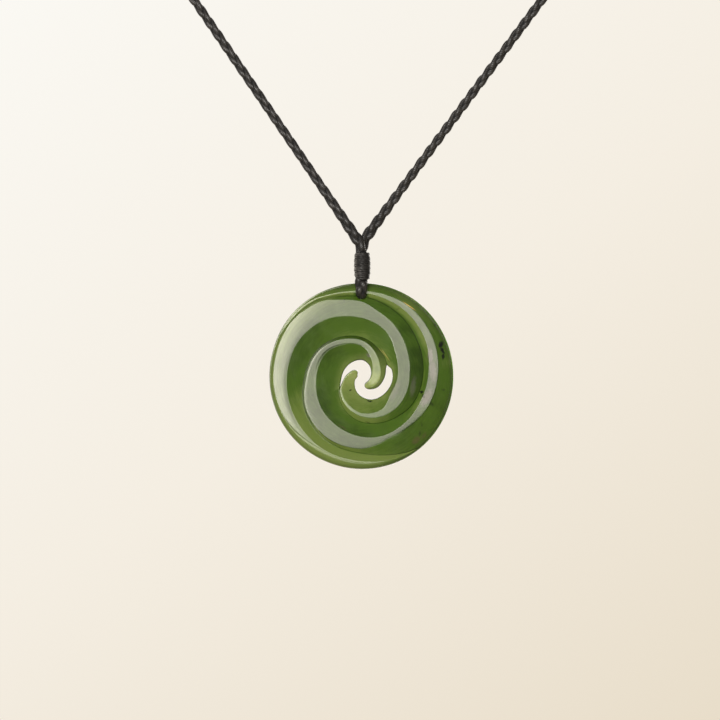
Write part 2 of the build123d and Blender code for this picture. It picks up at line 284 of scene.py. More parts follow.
# How far light comes in from the opening, and how far in from its very edge it is at its full, in millimetres; the
# degrees over which each finger's light fades, and the value that it fades from, cut to 1; the shares of light in a
# finger, on the finger's other side, and beside the opening
GLOW_REACH, GLOW_EDGE = 1.8, 0.25
FINGER_A_FADE, FINGER_B_FADE = 130, 115
FADE_START = 1.25
FINGER_GLOW, FAR_SIDE_GLOW, OPENING_GLOW = 0.95, 0.65, 0.35

# Natural marks in the stone's front: middle of the mark to the right of and above the stone's middle, half its
# length and half its width, in millimetres, its slope in degrees and its strength
Mark = namedtuple("Mark", "x z half_length half_width slope strength")
INCLUSIONS = [Mark(*row) for row in (
    (17.3, 6.9, 0.85, 0.52, 70, 1.0), (17.6, 5.6, 0.85, 0.36, -60, 1.0), (17.8, 4.3, 0.75, 0.26, 85, 0.95),
    (13.1, -3.4, 0.42, 0.30, 40, 1.0), (13.5, -4.3, 0.45, 0.30, -50, 0.7), (1.8, -5.45, 0.62, 0.20, -10, 1.0),
    (-2.3, -3.0, 0.28, 0.20, 0, 0.8), (15.2, -6.0, 0.60, 0.35, -40, 0.55), (17.8, -2.9, 0.40, 0.28, 0, 0.45),
    (12.7, -12.4, 0.45, 0.25, 80, 0.5), (13.1, -10.6, 0.50, 0.25, 85, 0.35), (16.1, 11.1, 0.50, 0.30, -50, 0.5),
    (-3.65, 16.4, 0.30, 0.14, 85, 0.5), (1.4, -10.0, 0.60, 0.22, -15, 0.45), (-10.5, -4.05, 0.30, 0.20, 0, 0.35),
    (7.9, 14.6, 0.35, 0.20, 30, 0.35),
)]
STAINS = [Mark(*row) for row in (
    (15.0, 4.4, 1.60, 0.55, 95, 0.9), (15.5, 1.2, 2.40, 0.75, 95, 0.7), (14.2, -4.6, 2.0, 0.80, 60, 0.8),
    (1.6, 4.6, 0.60, 0.35, -40, 0.6), (11.2, -2.2, 2.2, 0.60, 80, 0.35), (7.2, -3.2, 2.2, 0.8, 70, 0.3),
)]
RUST = [Mark(*row) for row in (
    (11.9, -13.9, 1.1, 0.7, 45, 0.6), (13.6, -12.9, 0.9, 0.4, 60, 0.4), (-4.1, -11.0, 1.0, 0.22, -35, 0.4),
)]
GOLD_STREAKS = [Mark(*row) for row in (
    (10.4, 15.25, 1.6, 0.11, -35, 1.0), (5.3, 4.6, 1.65, 0.08, -56, 0.5), (4.4, 5.4, 1.2, 0.06, -50, 0.35),
)]
# Half a mark's depth, and how ragged its outline is, in millimetres
MARK_DEPTH = 3
MARK_RAGGED = 0.7

# Colours of the stone's painted shade in its creases, of its rim where painted light comes through, of its clouds and
# of its marks, of the painted shade in the gaps between threads, and of the binding thread: unworn, worn, and a
# painted highlight at its left edge
CREASE_SHADE_COLOUR = (0.012, 0.016, 0.006)
RIM_COLOUR = (0.175, 0.228, 0.052)
CLOUD_COLOUR = (0.10, 0.15, 0.04)
STAIN_COLOUR = (0.17, 0.145, 0.125)
RUST_COLOUR = (0.10, 0.075, 0.03)
GOLD_COLOUR = (0.72, 0.48, 0.14)
INCLUSION_COLOUR = (0.008, 0.012, 0.006)
GAP_SHADE_COLOUR = (0.003, 0.0027, 0.0025)
THREAD_COLOURS_AND_LIT_EDGE = ((0.015, 0.013, 0.011), (0.170, 0.152, 0.133), (0.42, 0.375, 0.31))
# Colours of the clasp, unworn and worn, of the backdrop's middle, of the pale surround and of the room's light
CLASP_COLOURS = ((0.020, 0.019, 0.018), (0.055, 0.052, 0.048))
BACKDROP_MIDDLE = (0.908, 0.852, 0.758)
SURROUND_COLOUR = (0.87, 0.815, 0.72)
ROOM_COLOUR = (1.0, 0.97, 0.92)

# How far to the right and up the camera looks, and the width of its sensor, in millimetres
VIEW_X, VIEW_Z = -0.28, -188.56
SENSOR_WIDTH = 36

# The soft lights, in metres and watts, and whether they show in polished surfaces
Lamp = namedtuple("Lamp", "name place width height power glossy")
LAMPS = [
    Lamp("front softbox", (-0.02, -1.75, -0.1), 0.34, 1.0, 4.3, True),
    Lamp("right softbox", (0.28, -1.73, 0.03), 0.26, 0.74, 3.8, True),
    Lamp("left softbox", (-0.53, -1.67, -0.05), 0.67, 0.95, 20.5, True),
    Lamp("back softbox", (0.35, 1.6, -0.05), 0.8, 1.0, 6.5, True),
    Lamp("back fill", (-0.3, 1.6, 0.3), 0.6, 0.9, 8.0, False),
]


class CordSettings(bpy.types.PropertyGroup):
    strand_radius: FloatProperty(
        name="Strand radius", description="Radius of one strand of the plait", default=0.64 * MM, unit="LENGTH"
    )
    strand_sway: FloatProperty(
        name="Strand sway", description="How far a strand goes to each side of the plait's middle", default=0.36 * MM,
        unit="LENGTH",
    )
    strand_lift: FloatProperty(
        name="Strand lift", description="How far a strand rises where it goes over another", default=0.30 * MM,
        unit="LENGTH",
    )
    plait_period: FloatProperty(
        name="Plait period", description="Length of cord in which a strand goes to both sides and back",
        default=9.45 * MM, unit="LENGTH",
    )
    stations: IntProperty(
        name="Stations", description="Rings of a strand in one period of the plait", default=32, min=8
    )
    thread_radius: FloatProperty(
        name="Binding thread radius", description="Radius of the thread wound round the two legs", default=0.25 * MM,
        unit="LENGTH",
    )
    windings: IntProperty(name="Windings", description="Turns of the binding thread", default=16, min=3)
    cord_colour: FloatVectorProperty(
        name="Cord colour", description="Base colour of the waxed cord", default=(0.016, 0.0135, 0.0110),
        subtype="COLOR", size=3, min=0, max=1,
    )
    worn_colour: FloatVectorProperty(
        name="Worn colour", description="Colour of the cord's raised fibres", default=(0.090, 0.079, 0.067),
        subtype="COLOR", size=3, min=0, max=1,
    )


class StoneSettings(bpy.types.PropertyGroup):
    edge_round: FloatProperty(
        name="Edge rounding", description="Rounding of the opening's edges", default=0.3 * MM, unit="LENGTH"
    )
    crown: FloatProperty(
        name="Crown", description="How much the flat top of an arm is crowned", default=0.045 * MM, unit="LENGTH"
    )
    dome: FloatProperty(
        name="Dome", description="How far the face falls from the middle to the rim", default=0.5 * MM,
        unit="LENGTH",
    )
    dish: FloatProperty(
        name="Dish", description="Fall of the face towards the middle, over a radius", default=0.2 * MM, unit="LENGTH"
    )
    deep_colour: FloatVectorProperty(
        name="Deep colour", description="The stone's darker green", default=(0.022, 0.050, 0.003),
        subtype="COLOR", size=3, min=0, max=1,
    )
    body_colour: FloatVectorProperty(
        name="Body colour", description="The stone's main green", default=(0.066, 0.130, 0.010),
        subtype="COLOR", size=3, min=0, max=1,
    )
    pale_colour: FloatVectorProperty(
        name="Pale colour", description="The stone's lighter yellow green", default=(0.172, 0.232, 0.046),
        subtype="COLOR", size=3, min=0, max=1,
    )
    # painted glow: the colour laid where light would come through thin stone
    glow_colour: FloatVectorProperty(
        name="Glow colour", description="The yellow green of its thin parts", default=(0.39, 0.44, 0.14),
        subtype="COLOR", size=3, min=0, max=1,
    )


class StageSettings(bpy.types.PropertyGroup):
    view_width: FloatProperty(
        name="View width", description="Width of the picture at the stone", default=156.5 * MM, unit="LENGTH"
    )
    camera_distance: FloatProperty(
        name="Camera distance", description="Distance from the camera to the stone", default=0.9, unit="LENGTH"
    )
    backdrop_light: FloatVectorProperty(
        name="Backdrop, upper left", description="Colour of the backdrop at the upper left",
        default=(0.962, 0.943, 0.894), subtype="COLOR", size=3, min=0, max=1,
    )
    backdrop_warm: FloatVectorProperty(
        name="Backdrop, lower right", description="Colour of the backdrop at the lower right",
        default=(0.807, 0.723, 0.586), subtype="COLOR", size=3, min=0, max=1,
    )


# ---- small helpers


def clamp(value):
    """The value, kept between 0 and 1."""
    return min(1, max(0, value))


def smooth_between(rows, place, field):
    """A column of a table at any place along its first column, on a smooth curve through its rows."""
    last = len(rows) - 1
    i = next((i for i in range(last) if place <= rows[i + 1][0]), last - 1)
    a, b = rows[i], rows[i + 1]
    span = b[0] - a[0]
    share = clamp((place - a[0]) / span)

    def rise(k):
        return (getattr(rows[k + 1], field) - getattr(rows[k], field)) / (rows[k + 1][0] - rows[k][0])

    def slope(k):
        if k in (0, last):
            return rise(min(k, last - 1))
        before, after = rise(k - 1), rise(k)
        if before * after <= 0:
            return 0
        return 2 * before * after / (before + after)

    start, end = getattr(a, field), getattr(b, field)
    square, cube = share * share, share**3
    return (
        start * (2 * cube - 3 * square + 1)
        + end * (3 * square - 2 * cube)
        + slope(i) * span * (cube - 2 * square + share)
        + slope(i + 1) * span * (cube - square)
    )


def turns_of(rows):
    """The turns at which a strip gets a section: the table's own closely spaced ones, then even steps."""
    first, last = rows[0].turn, rows[-1].turn
    close = [row.turn for row in rows if row.turn - first < START_LENGTH and row.turn % TURN_STEP]
    even = range(ceil(first / TURN_STEP) * TURN_STEP, last + 1, TURN_STEP)
    return sorted({*close, *even})


def new_grid(bm, columns, rows):
    """A flat grid to bend: its corners, each with its column and its row."""
    grid = bmesh.ops.create_grid(bm, x_segments=columns, y_segments=rows, size=0.5)
    return [(v, round((v.co.x + 0.5) * columns), round((v.co.y + 0.5) * rows)) for v in grid["verts"]]


def chain(bm, points):
    """New corners and the edges that join them in a row, to spin or extrude."""
    corners = [bm.verts.new(point) for point in points]
    return corners, [bm.edges.new(pair) for pair in zip(corners, corners[1:])]


def spin_profile(profile, axis, steps):
    """A closed round shape in a new bmesh, from points that go along the axis."""
    bm = bmesh.new()
    corners, edges = chain(bm, profile)
    bmesh.ops.spin(bm, geom=corners + edges, cent=(0, 0, 0), axis=axis, angle=2 * pi, steps=steps, use_merge=True)
    return bm


def finish_mesh(bm, name, merge, sharp_angle=None):
    """A mesh object at the origin from a bmesh, its doubles merged and its faces outward."""
    bmesh.ops.remove_doubles(bm, verts=bm.verts, dist=merge)
    bmesh.ops.recalc_face_normals(bm, faces=bm.faces)
    for face in bm.faces:
        face.smooth = True
    mesh = bpy.data.meshes.new(name)
    bm.to_mesh(mesh)
    bm.free()
    if sharp_angle is not None:
        mesh.set_sharp_from_angle(angle=sharp_angle)
    made = bpy.data.objects.new(name, mesh)
    bpy.context.scene.collection.objects.link(made)
    return made


# ---- cord


def line_of(route):
    """Points close together along the smooth line of a route, in metres."""
    curve = bpy.data.curves.new("route", "CURVE")
    curve.dimensions = "3D"
    spline = curve.splines.new("NURBS")
    spline.points.add(len(route) - 1)
    for point, place in zip(spline.points, route):
        point.co = (*(Vector(place) * MM), 1)
    spline.order_u = 3
    spline.use_endpoint_u = True
    spline.resolution_u = 48
    holder = bpy.data.objects.new("route", curve)
    mesh = bpy.data.meshes.new_from_object(holder)
    line = [vertex.co.copy() for vertex in mesh.vertices]
    bpy.data.objects.remove(holder)
    bpy.data.curves.remove(curve)
    bpy.data.meshes.remove(mesh)
    return line


def lengths_along(line):
    """How far along the line each of its points is."""
    along = [0.0]
    for a, b in zip(line, line[1:]):
        along.append(along[-1] + (b - a).length)
    return along


def evenly(line, step):
    """The line again, with its points an even distance of about step apart, and its length."""
    along = lengths_along(line)
    count = max(2, round(along[-1] / step))
    points, k = [], 0
    for i in range(count + 1):
        at = along[-1] * i / count
        while k < len(line) - 2 and along[k + 1] < at:
            k += 1
        share = (at - along[k]) / max(along[k + 1] - along[k], 1e-12)
        points.append(line[k].lerp(line[k + 1], share))
    return points, along[-1]


def frames_along(points, front):
    """For each point of a line, its tangent and the front and side directions, carried along without twist."""
    frames = []
    for i, point in enumerate(points):
        tangent = (points[min(i + 1, len(points) - 1)] - points[max(i - 1, 0)]).normalized()
        front = (front - tangent * front.dot(tangent)).normalized()
        frames.append((point, tangent, front, tangent.cross(front)))
    return frames


def lay_thread(bm, rings, sides, place, shift):
    """A closed thread made from a bent grid. place gives the spot at a ring and an angle round it, how far round
    and along the thread it is, and how far it stands out. The UV map holds millimetres: round it, then along."""
    uv = bm.loops.layers.uv["thread_uv"]
    raised = bm.verts.layers.float["raised"]
    at = {}
    for vertex, ring, side in new_grid(bm, rings - 1, sides):
        vertex.co, around, along, vertex[raised] = place(ring, 2 * pi * side / sides)
        at[vertex] = (around / MM + shift, along / MM)
    for face in {face for vertex in at for face in vertex.link_faces}:
        for loop in face.loops:
            loop[uv].uv = at[loop.vert]


def start_threads():
    """An empty bmesh with what the thread finishes read."""
    bm = bmesh.new()
    bm.loops.layers.uv.new("thread_uv")
    bm.verts.layers.float.new("raised")
    return bm


def close_threads(bm, name):
    """Merge the seams of laid threads, close their ends and make the object."""
    bmesh.ops.remove_doubles(bm, verts=bm.verts, dist=THREAD_MERGE)
    bmesh.ops.holes_fill(bm, edges=[edge for edge in bm.edges if edge.is_boundary], sides=0)
    return finish_mesh(bm, name, THREAD_MERGE)


def plait(name, line, front, settings, period, roll_at, size_at):
    """A three-strand plait along a line: each strand goes over from side to side as its neighbours go under."""
    radius, sway, lift = settings.strand_radius, settings.strand_sway, settings.strand_lift
    points, length = evenly(line, period / settings.stations)
    rings = []
    for i, (point, _, ahead, side) in enumerate(frames_along(points, front)):
        along = length * i / (len(points) - 1)
        roll, size = roll_at(along), size_at(along / length)
        ahead, side = ahead * cos(roll) + side * sin(roll), side * cos(roll) - ahead * sin(roll)
        rings.append((point, along, size, ahead, side))
    bm = start_threads()
    for strand in range(3):

        def place(ring, turn):
            point, along, size, ahead, side = rings[ring]
            phase = 2 * pi * (along / period + strand / 3)
            across = sway * tanh(TURN_SHARPNESS * sin(phase)) / tanh(TURN_SHARPNESS) + radius * sin(turn)
            up = lift * sin(2 * phase) + radius * STRAND_FLATNESS * cos(turn)
            out = hypot(across / (sway + radius), up / (lift + radius * STRAND_FLATNESS))
            raised = (out - SEEN_FROM) / SEEN_DEPTH
            return point + (side * across + ahead * up) * size, turn * radius, along, raised

        lay_thread(bm, len(rings), STRAND_SIDES, place, strand * FIBRE_SHIFT)
    return close_threads(bm, name)


def held_route():
    """Corners of the held cord, from the binding's top, through the stone's hole and back up to it."""
    top_z = BINDING_HIGH.z / MM
    hole_z = HOLE.z / MM
    knee = Vector((LEG_Y, top_z - LEG_STRAIGHT))
    centre = Vector((STONE_HALF / MM - LOOP_BEND_INSET, hole_z + LOOP_BEND - LOOP_SETTLE))
    across, up = knee - centre
    lean = asin(LOOP_BEND / hypot(across, up)) - atan2(across, up)
    part_turn = (radians(90) + lean) / 4
    reach = LOOP_BEND / cos(part_turn)
    low = centre + Vector((sin(part_turn), -cos(part_turn))) * reach
    high = centre + Vector((cos(lean - part_turn), sin(lean - part_turn))) * reach
    side = [Vector((LEG_Y, top_z)), knee, high, low]
    return [(0, -p.x, p.y) for p in side] + [(0, p.x, p.y) for p in reversed(side)]


class KORU_OT_cords(bpy.types.Operator):
    """Plait the two sides of the free cord and the loop that holds the stone"""

    bl_idname = "koru.cords"
    bl_label = "Plaited cords"

    def execute(self, context):
        settings = context.scene.koru_cord
        finish = cord_material(settings)
        toward_viewer = Vector((0, -1, 0))
        cords = {}
        for name, route, roll in (("cord_left", LEFT_ROUTE, LEFT_ROLL), ("cord_right", RIGHT_ROUTE, RIGHT_ROLL)):
            line = line_of(route)
            made = plait(
                name, line, toward_viewer, settings, settings.plait_period,
                lambda along, r=roll: r + ROLL_SWING * sin(along / (ROLL_LENGTH * MM)),
                lambda share: smooth_between(CORD_SIZES, share, "size"),
            )
            made.data.materials.append(finish)
            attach(made, "necklace")
            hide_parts("neck_" + name)
            cords[name] = (made, line)
        for name, (made, line) in cords.items():
            points, length = evenly(line, 2 * MM)
        loop = plait(
            "cord_loop", line_of(held_route()), toward_viewer, settings, settings.plait_period * HELD_PERIOD,
            lambda along: HELD_ROLL,
            lambda share: smooth_between(LOOP_SIZES, min(share, 1 - share), "size"),
        )
        loop.data.materials.append(finish)
        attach(loop, "necklace")
        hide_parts("pendant_loop")
        return {"FINISHED"}


class KORU_OT_binding(bpy.types.Operator):
    """Wind the binding thread round the two legs of the cord"""

    bl_idname = "koru.binding"
    bl_label = "Binding"

    def execute(self, context):
        settings = context.scene.koru_cord
        radius = settings.thread_radius
        low, high = BINDING_LOW.z + radius * THREAD_END, BINDING_HIGH.z - radius * THREAD_END
        widest = (BINDING_HIGH.x - BINDING_LOW.x) / 2
        foot_y = (BINDING_HIGH.y - BINDING_LOW.y) / 2
        head_y = foot_y - HEAD_TAPER * MM

        def place(angle, share):
            """A point of the wound thread's middle line: an upright oval, deeper at its foot."""
            narrowing = THREAD_INSET + END_NARROWING * (1 - sin(pi * share)) ** 2
            half_x = widest - radius - (narrowing - WANDER_ACROSS * sin(angle * ACROSS_PACE)) * MM
            half_y = foot_y + (head_y - foot_y) * share - radius
            flat = max(0, half_y - half_x)
            x, y = half_x * cos(angle), half_x * sin(angle)
            y += flat * (1 if sin(angle) > 0 else -1) * min(1, abs(sin(angle)) * CORNER_SHARPNESS)
            rise = WANDER_UP * sin(angle * UP_PACE) + FOOT_RISE * (x / widest) ** 2 * (1 - share) ** 2
            z = low + (high - low) * share + rise * MM - WINDING_SLANT * x
            return Vector((x + SIDE_SHIFT * MM, y, min(high, max(low, z))))

        thread = []
        for i in range((settings.windings + 1) * WINDING_STEPS + 1):
            turns = i / WINDING_STEPS
            share = clamp((turns - CLIMB_START) / settings.windings)
            thread.append(place(2 * pi * turns + START_ANGLE, share))
        frames = frames_along(thread, Vector((0, 0, 1)))
        along = lengths_along(thread)

        def spot_of(ring, turn):
            point, tangent, _, _ = frames[ring]
            out = Vector((point.x, point.y, 0)).normalized()
            up = tangent.cross(out)
            raised = (cos(turn) - WORN_FROM) / (1 - WORN_FROM)
            return point + (out * cos(turn) + up * sin(turn)) * radius, turn * radius, along[ring], raised

        bm = start_threads()
        lay_thread(bm, len(thread), THREAD_SIDES, spot_of, 0)
        made = close_threads(bm, "binding")
        made.data.materials.append(thread_material(settings))
        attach(made, "necklace")
        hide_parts("whipping")
        return {"FINISHED"}


class KORU_OT_clasp(bpy.types.Operator):
    """Turn the plain barrel that joins the cord at the nape"""

    bl_idname = "koru.clasp"
    bl_label = "Clasp"

    def execute(self, context):
        half = (CLASP_HIGH.x - CLASP_LOW.x) / 2
        radius = (CLASP_HIGH.z - CLASP_LOW.z) / 2
        mouth, socket, groove = 1.08 * MM, 4 * MM, 0.2 * MM
        # the right half's outline, from the groove in the middle to the mouth and down into the socket
        side = [
            (groove, radius - groove), (0.35 * MM, radius), (half * 0.55, radius), (half * 0.9, radius * 0.80),
            (half, radius * 0.72), (half, mouth), (half - socket, mouth), (half - socket, 0),
        ]
        profile = [(-x, r) for x, r in reversed(side)] + side
        bm = spin_profile([(x, 0, r) for x, r in profile], (1, 0, 0), 48)
        made = finish_mesh(bm, "clasp", PLAIN_MERGE, radians(CLASP_SHARP))
        bevel = made.modifiers.new("worn edges", "BEVEL")
        bevel.width = 0.18 * MM
        bevel.segments = 3
        bevel.limit_method = "ANGLE"
        bevel.angle_limit = radians(25)
        made.data.materials.append(clasp_material())
        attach(made, "necklace")
        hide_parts("closing_clasp")
        return {"FINISHED"}


# ---- stone


def rim_light(rho, turn):
    """How much light the rim lets through at a place, from 0 to 1."""
    share = smooth_between(RIM_LIGHT, turn % FULL_TURN, "share")
    return share * clamp((rho / STONE_RADIUS - RIM_LIGHT_START) / RIM_LIGHT_WIDTH)


def rim_at(turn, field):
    """A column of the rim's table at any angle."""
    return smooth_between(RIM, turn % FULL_TURN, field)


def rim_fall(rho, turn):
    """How far the rounded rim lies below the face, at a radius in metres."""
    width = rim_at(turn, "width") * MM
    inside = STONE_RADIUS - width
    if rho <= inside:
        return 0.0
    share = min(1, (rho - inside) / width)
    return (STONE_HALF - RIM_BAND * MM) * (1 - sqrt(max(0, 1 - share * share)))


class StoneFace:
    """The carved front face: how deep it lies at any place of either arm."""

    def __init__(self, settings):
        self.edge = settings.edge_round
        self.crown = settings.crown
        self.dome = settings.dome
        self.dish = settings.dish

    def section(self, arm, turn):
        """The arm's radii and depths at a turn, in metres, and whether each side is an edge of the opening."""
        other = ARM_B if arm is ARM_A else ARM_A
        at = {field: smooth_between(arm, turn, field) for field in Arm._fields[1:]}
        for field in ("foot_r", "top_in", "top_out"):
            at[field] *= STONE_RADIUS
        for field in ("foot", "sink"):
            at[field] *= MM
        finger = FINGER_A if arm is ARM_A else FINGER_B
        at["open_in"] = turn <= (OPENING_A_END if arm is ARM_A else OPENING_B_END)
        at["open_out"] = turn <= finger[-1].turn
        outer_turn = turn if arm is ARM_A else turn + FULL_TURN
        if at["open_out"]:
            at["edge_r"] = smooth_between(finger, turn, "edge_r") * STONE_RADIUS
            at["out_foot"] = OPENING_DEPTH * MM
        elif outer_turn < other[-1].turn:
            at["edge_r"] = smooth_between(other, outer_turn, "foot_r") * STONE_RADIUS
            at["out_foot"] = smooth_between(other, outer_turn, "foot") * MM
        else:
            at["edge_r"] = RIM_START * STONE_RADIUS
            at["out_foot"] = max(rim_at(turn, "drop") * MM, at["sink"])
        at["top_out"] = min(at["top_out"], at["edge_r"])
        at["top_in"] = min(max(at["top_in"], at["foot_r"]), at["top_out"])
        return at

    def radii(self, at):
        """The places across a section: close together at its edges and at the two arrises."""
        inner, outer = at["foot_r"], at["edge_r"]
        flank = at["top_in"] - inner
        land = at["top_out"] - at["top_in"]
        wall = outer - at["top_out"]
        lip_in = min(self.edge, flank * LIP_OF_FLANK)
        lip_out = min(self.edge, wall * LIP_OF_WALL)
        places = [inner + lip_in * share for share in LIP_STEPS]
        places += [inner + lip_in + (flank - lip_in) * share for share in FLANK_STEPS]
        places += [at["top_in"] + land * share for share in LAND_STEPS]
        places += [at["top_out"] + (wall - lip_out) * share for share in WALL_STEPS]
        places += [outer - lip_out * share for share in (1, *reversed(LIP_STEPS))]
        return places

    def shade(self, arm, at, rho, turn):
        """How light the stone is at a place of an arm: its own tone with painted light and shade, and painted shade
        as thin dark lines in the creases at the arm's edges.
        """
        rows = SHADE_A if arm is ARM_A else SHADE_B
        foot, top, land, wall = (smooth_between(rows, turn, field) for field in Shade._fields[1:])
        outer = OPENING_LINE if at["open_out"] else OUTER_CREASE
        inner = OPENING_LINE if at["open_in"] else INNER_CREASE
        crease = max(0, 1 - abs(at["edge_r"] - rho) / (outer * MM))
        crease += max(0, 1 - abs(rho - at["foot_r"]) / (inner * MM))
        if rho < at["top_in"]:
            share = (at["top_in"] - rho) / (at["top_in"] - at["foot_r"])
            light = top + (foot - top) * share**2
        else:
            light = land if rho <= at["top_out"] else wall
        return light - CREASE_SHADE * crease

    def glow(self, arm, at, rho, turn):
        """How thin the stone is towards the opening at a place of an arm, as the share of a painted glow that stands
        for light coming through thin stone.
        """
        reach = GLOW_REACH * MM
        near = min(
            rho - at["foot_r"] if at["open_in"] else reach,
            at["edge_r"] - rho if at["open_out"] else reach,
            reach,
        )
        fade, lit = (FINGER_A_FADE, "top_out") if arm is ARM_A else (FINGER_B_FADE, "top_in")
        finger = clamp(FADE_START - (turn - arm[0].turn) / fade)
        finger *= 1.0 if rho <= at[lit] else FAR_SIDE_GLOW
        light = FINGER_GLOW * finger + OPENING_GLOW * (1 - finger) * (1 - near / reach)
        return light * min(1, near / (GLOW_EDGE * MM))

    def crowned(self, at, rho, turn):
        """How far a flat top falls towards its edges: less where it is narrow or wide, where a wide wall follows,
        and at inner edges that face left."""
        width = at["top_out"] - at["top_in"]
        if width <= 0 or not at["top_in"] <= rho <= at["top_out"]:
            return 0.0
        middle = (at["top_out"] + at["top_in"]) / 2
        wide = max(LEAST_CROWN, 1 - (width - WIDE_TOP * MM) / (CROWN_FADE * MM))
        strength = min(1, width / (NARROW_TOP * MM), wide)
        if rho > middle:
            strength *= 1 - WALL_TAKES * min(1, (at["edge_r"] - at["top_out"]) / (WIDE_WALL * MM))
        elif rho < middle:
            strength *= min(1, max(INNER_LEAST, INNER_CROWN - INNER_SWING * cos(radians(turn))))
        return self.crown * strength * (2 * (rho - middle) / width) ** 4

    def depth(self, at, rho, turn):
        """How far the surface lies below the middle of the face."""
        if rho < at["top_in"]:
            share = (rho - at["foot_r"]) / (at["top_in"] - at["foot_r"])
            cut = (at["foot"] - at["sink"]) * (1 - share)
        elif rho <= at["top_out"]:
            cut = 0.0
        else:
            wall = at["edge_r"] - at["top_out"]
            power = WALL_POWER + WIDE_WALL_POWER * min(1, wall / (WIDE_WALL * MM))
            if at["edge_r"] >= RIM_START * STONE_RADIUS:
                power = 1.0
            cut = (at["out_foot"] - at["sink"]) * ((rho - at["top_out"]) / wall) ** power
        cut += at["sink"] + self.crowned(at, rho, turn)
        for is_open, gap in ((at["open_in"], rho - at["foot_r"]), (at["open_out"], at["edge_r"] - rho)):
            if is_open and gap < self.edge:
                share = 1 - max(0, gap) / self.edge
                cut += self.edge * (1 - sqrt(max(0, 1 - share * share)))
        cut += self.dome * (rho / STONE_RADIUS) ** 4
        cut += self.dish * max(0, DISH_RADIUS - rho / STONE_RADIUS)
        cut += rim_fall(rho, turn)
        return min(cut, STONE_HALF - LEAST_LEFT * MM)


def spot(rho, turn, depth):
    """A place on the front of the stone, from its radius, its turn and its depth below the face."""
    angle = radians(turn)
    if rho > BULGE_START * STONE_RADIUS:
        rho += rim_at(turn, "bulge") * MM * ((rho / STONE_RADIUS - BULGE_START) / (1 - BULGE_START)) ** 2
    return STONE_CENTRE + Vector((rho * cos(angle), depth - STONE_HALF, rho * sin(angle)))


# What the stone's finish is told at each place: how light it is, its own tone with painted light and shade, how thin
# it is towards an edge, for a painted glow there, and how much painted light its rim lets through
TRAITS = ("shade", "thin", "rim_light")


def lay_strip(bm, turns, count, place):
    """A grid bent to a strip: place gives the spot and the traits of each section's points."""
    layers = [bm.verts.layers.float[name] for name in TRAITS]
    for vertex, section, step in new_grid(bm, len(turns) - 1, count - 1):
        vertex.co, *values = place(turns[section], step)
        for layer, value in zip(layers, values):
            vertex[layer] = value


def lay_arm(bm, face, arm):
    """The carved top of one arm and its sides along the opening, on the front half of the stone."""
    sections = {}
    for turn in turns_of(arm):
        at = face.section(arm, turn)
        sections[turn] = (at, face.radii(at))

    def top(turn, step):
        at, radii = sections[turn]
        rho = radii[step]
        place = spot(rho, turn, face.depth(at, rho, turn))
        return place, face.shade(arm, at, rho, turn), face.glow(arm, at, rho, turn), rim_light(rho, turn)

    turns = list(sections)
    lay_strip(bm, turns, len(sections[turns[0]][1]), top)
    for side, flag in ((0, "open_in"), (-1, "open_out")):
        wall_turns = [turn for turn in turns if sections[turn][0][flag]]

        def wall(turn, step, side=side):
            at, radii = sections[turn]
            rho = radii[side]
            depth = face.depth(at, rho, turn)
            depth += (STONE_HALF - depth) * step / SIDE_STEPS
            return spot(rho, turn, depth), face.shade(arm, at, rho, turn), face.glow(arm, at, rho, turn), 0.0

        lay_strip(bm, wall_turns, SIDE_STEPS + 1, wall)


def lay_rim(bm, face):
    """The outermost ring of the front half, out to the middle of the stone's edge."""
    start = RIM_START * STONE_RADIUS

    def ring(turn, step):
        bend = start + (STONE_RADIUS - start) * rim_at(turn, "facet")
        angle = pi / 2 * max(0, step - FLAT_STEPS) / ROUND_STEPS
        rho = start + (bend - start) * min(1, step / FLAT_STEPS) + (STONE_RADIUS - bend) * sin(angle)
        edge = rim_at(turn, "drop") * MM + face.dome * (rho / STONE_RADIUS) ** 4 + rim_fall(start, turn)
        depth = edge + (STONE_HALF - edge) * (1 - cos(angle))
        rows = SHADE_A if turn > B_TAIL_END or turn < A_TAIL_END else SHADE_B
        at_turn = turn + FULL_TURN if rows is SHADE_B or turn > B_TAIL_END else turn + 2 * FULL_TURN
        return spot(rho, turn, depth), smooth_between(rows, at_turn, "wall"), 0.0, rim_light(rho, turn)

    lay_strip(bm, list(range(0, FULL_TURN + 1, TURN_STEP)), FLAT_STEPS + ROUND_STEPS + 1, ring)


class KORU_OT_stone(bpy.types.Operator):
    """Carve the stone: two spiral arms on each face, the opening between them and the drilled hole"""

    bl_idname = "koru.stone"
    bl_label = "Stone"

    def execute(self, context):
        settings = context.scene.koru_stone
        face = StoneFace(settings)
        bm = bmesh.new()
        for name in TRAITS:
            bm.verts.layers.float.new(name)
        lay_arm(bm, face, ARM_A)
        lay_arm(bm, face, ARM_B)
        lay_rim(bm, face)
        bmesh.ops.remove_doubles(bm, verts=bm.verts, dist=STONE_MERGE)
        bmesh.ops.mirror(bm, geom=bm.verts[:] + bm.edges[:] + bm.faces[:], axis="Y", merge_dist=STONE_MERGE)
        made = finish_mesh(bm, "stone", STONE_MERGE)
        drill_hole(made)
        made.data.set_sharp_from_angle(angle=radians(STONE_SHARP))
        made.data.materials.append(stone_material(settings))
        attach(made, "stone")
        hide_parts("disc")
        return {"FINISHED"}


